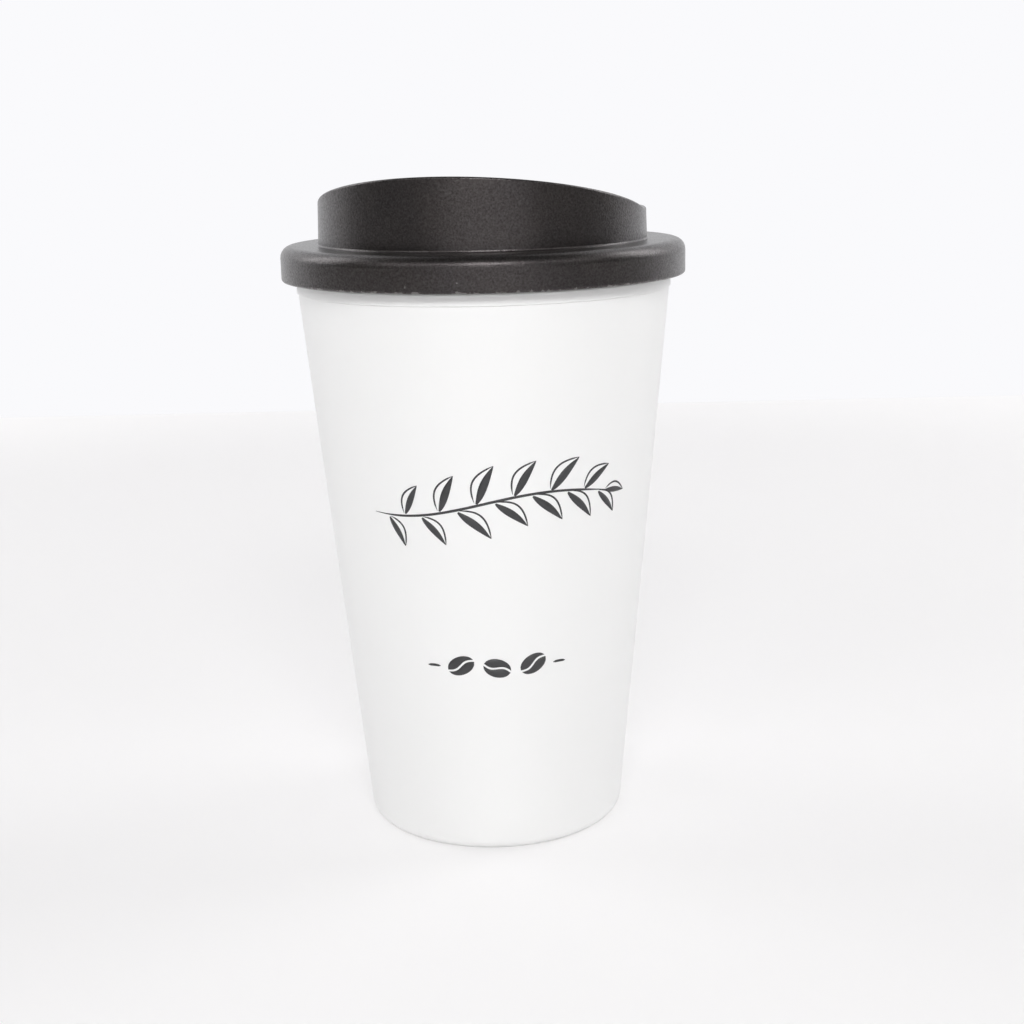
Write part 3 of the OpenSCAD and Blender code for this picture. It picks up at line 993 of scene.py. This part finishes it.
def black_plastic(name, tone, warm_tone, worn_tone, grain_size, grain_depth, roughness):
    """Matt black polypropylene with a pebbled spark-eroded grain that glints, paler where it is scuffed and
    nicked at its edges."""
    material, tree, grain = grained_material(name, grain_size, cloud_size=0.011, coarseness=0.25)
    wear = add_node(tree, "ShaderNodeAttribute", attribute_name="wear").outputs["Fac"]
    marks = place_group(tree, handling_marks, {"Wear": wear, "Scratches": 0.16, "Nicks": 0.8})
    worn = maths(tree, "MAXIMUM", marks["Scratch"], marks["Nick"])
    cloudy = between(tree, ranged(tree, grain["Clouds"], 0.3, 0.7), tone, warm_tone)
    speckled = add_node(tree, "ShaderNodeVectorMath", {
        0: cloudy, "Scale": ranged(tree, grain["Height"], 0.4, 0.85, 0.75, 1.3),
    }, operation="SCALE")
    finish_material(tree, grain, 0.5, grain_depth, {
        "Base Color": between(tree, worn, speckled.outputs[0], worn_tone),
        "Roughness": ranged(tree, grain["Clouds"], 0.0, 1.0, roughness - 0.05, roughness + 0.05),
        "IOR": 1.49, "Specular IOR Level": 0.42, "Specular Tint": (1.0, 0.86, 0.88, 1),
        "Coat Weight": ranged(tree, grain["Height"], 0.4, 0.85, 0.0, 0.85),
        "Coat Roughness": 0.32, "Coat IOR": 1.45,
    })
    return material


lid_black = black_plastic(
    "matt black plastic", tone=(0.0098, 0.0091, 0.0090), warm_tone=(0.0148, 0.0130, 0.0115),
    worn_tone=(0.16, 0.155, 0.15), grain_size=0.00042, grain_depth=0.00013, roughness=0.32,
)

rim_outer_r = collar_r - (rim_z - flange_z) * collar_draft
squeeze_r = collar_r - (squeeze_z - flange_z) * collar_draft
lid_line = rounded([
    *[(r, deck_at(r), 0) for r in (0, *deck_rings)],
    (collar_in_r, deck_at(collar_in_r), deck_corner_r), (collar_in_r, squeeze_z, 0),
    (collar_in_r, rim_z, rim_edge_r), (rim_outer_r, rim_z, rim_edge_r), (squeeze_r, squeeze_z, 0),
    (collar_r, flange_z + collar_foot_h, collar_foot_top_r), (collar_foot_r, flange_z, collar_foot_edge_r),
    (lid_r, flange_z, shoulder_r), (lid_r, skirt_z, skirt_edge_r), (skirt_in_r, skirt_z, small_edge_r),
    (skirt_in_r, flange_in_z, small_edge_r), (plug_r, flange_in_z, small_edge_r),
    (plug_r, groove_top_z, groove_edge_r), (groove_r, groove_top_z, groove_edge_r),
    (groove_r, groove_z, groove_edge_r), (plug_r, groove_z, groove_edge_r),
    (plug_r, plug_z, plug_edge_r), (plug_in_r, plug_z, plug_in_edge_r),
    (plug_in_r, deck_at(plug_in_r) - deck_wall, plug_root_r),
    *[(r, deck_at(r) - deck_wall, 0) for r in (*reversed(deck_rings), 0)],
])
lifted_z = rim_z - rim_edge_r - 0.0002
lift_mask = [max(0.0, min(1.0, (z - squeeze_z) / (lifted_z - squeeze_z))) for x, z in lid_line]
lean_mask = [1.0 if x > (rim_outer_r + collar_in_r) / 2 else 0.0 for x, z in lid_line]


def wear_at(x, z):
    """How far a point of the lid's outline is worn: most at the skirt's foot and on the rim, less on the
    rest of the outside, and not at all inside."""
    on_rim = rim_wear - abs(z - rim_z) / rim_wear_reach if collar_in_r - 0.0001 < x < collar_r else 0.0
    from_foot = math.dist((x, z), (lid_r, skirt_z))
    on_skirt = skirt_wear - (from_foot - skirt_wear_from) / skirt_wear_reach
    return max(0.0, on_rim, on_skirt, open_wear if x > rim_outer_r - 0.0003 else 0.0)


edge_wear = [wear_at(x, z) for x, z in lid_line]
lid_outline = outline_piece("lid outline", lid_line, wear=edge_wear, lift=lift_mask, lean=lean_mask)
masked_form = turned_tree(["wear", "lift", "lean"])
run_nodes(lid_outline, masked_form, Sections=lid_sections, Material=lid_black)
run_nodes(
    lid_outline, slanting_tree(), Slant=rim_slant, Bend_radius=rim_bend_r, Draft=collar_draft,
    Material=lid_black,
)
lid_body = settle(lid_outline, "lid body")
cutters = [hole_cutter("slot cutter", slot_loop), hole_cutter("vent cutter", vent_loop)]
for cutter in cutters:
    cut = lid_body.modifiers.new(cutter.name, "BOOLEAN")
    cut.operation = "DIFFERENCE"
    cut.solver = "EXACT"
    cut.object = cutter
lid_body = settle(lid_body, "lid body")
for cutter in cutters:
    bpy.data.objects.remove(cutter)
split_wide_faces(lid_body)
skirt_ridges = ridges(
    "skirt ridges", 64, skirt_in_r, 1.0, lid_ridge_angle, lid_ridge_sweep, lid_ridge_z, lid_black,
)
lid_piece = join("twist_lid", lid_body, skirt_ridges)
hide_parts("lid")
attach(lid_piece, "lid")


# Seal ring: soft grey silicone, moulded with two round lips that wipe the neck. It is stretched over the
# lid's plug and held by the groove alone.
seal_in_r = 0.0386
seal_low = 0.13275
seal_high = 0.13455
seal_sections = 240
lip_r = 0.00045
lip_at_r = 0.0401
lip_turns = [math.radians(-90 + 15 * i) for i in range(13)]


def silicone(name, tone):
    """Soft translucent silicone with a slightly uneven matt skin."""
    material, tree, grain = grained_material(name, grain_size=0.00025, cloud_size=0.006)
    finish_material(tree, grain, 0.3, 0.00002, {
        "Base Color": between(tree, grain["Clouds"], times(tone, 0.92), tone),
        "Roughness": 0.55, "IOR": 1.41, "Subsurface Weight": 0.3,
        "Subsurface Radius": (0.001, 0.001, 0.001), "Subsurface Scale": 1.0,
    })
    return material


seal_line = [(seal_in_r, seal_low)]
for middle in (seal_low + lip_r, seal_high - lip_r):
    seal_line += [(lip_at_r + lip_r * math.cos(a), middle + lip_r * math.sin(a)) for a in lip_turns]
seal_line += [(seal_in_r, seal_high), (seal_in_r, seal_low)]
seal_grey = silicone("grey silicone", (0.30, 0.305, 0.31))
seal_piece = join("lid_seal", turned("seal body", seal_line, seal_sections, seal_grey))
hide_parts("seal_ring")
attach(seal_piece, "seal")
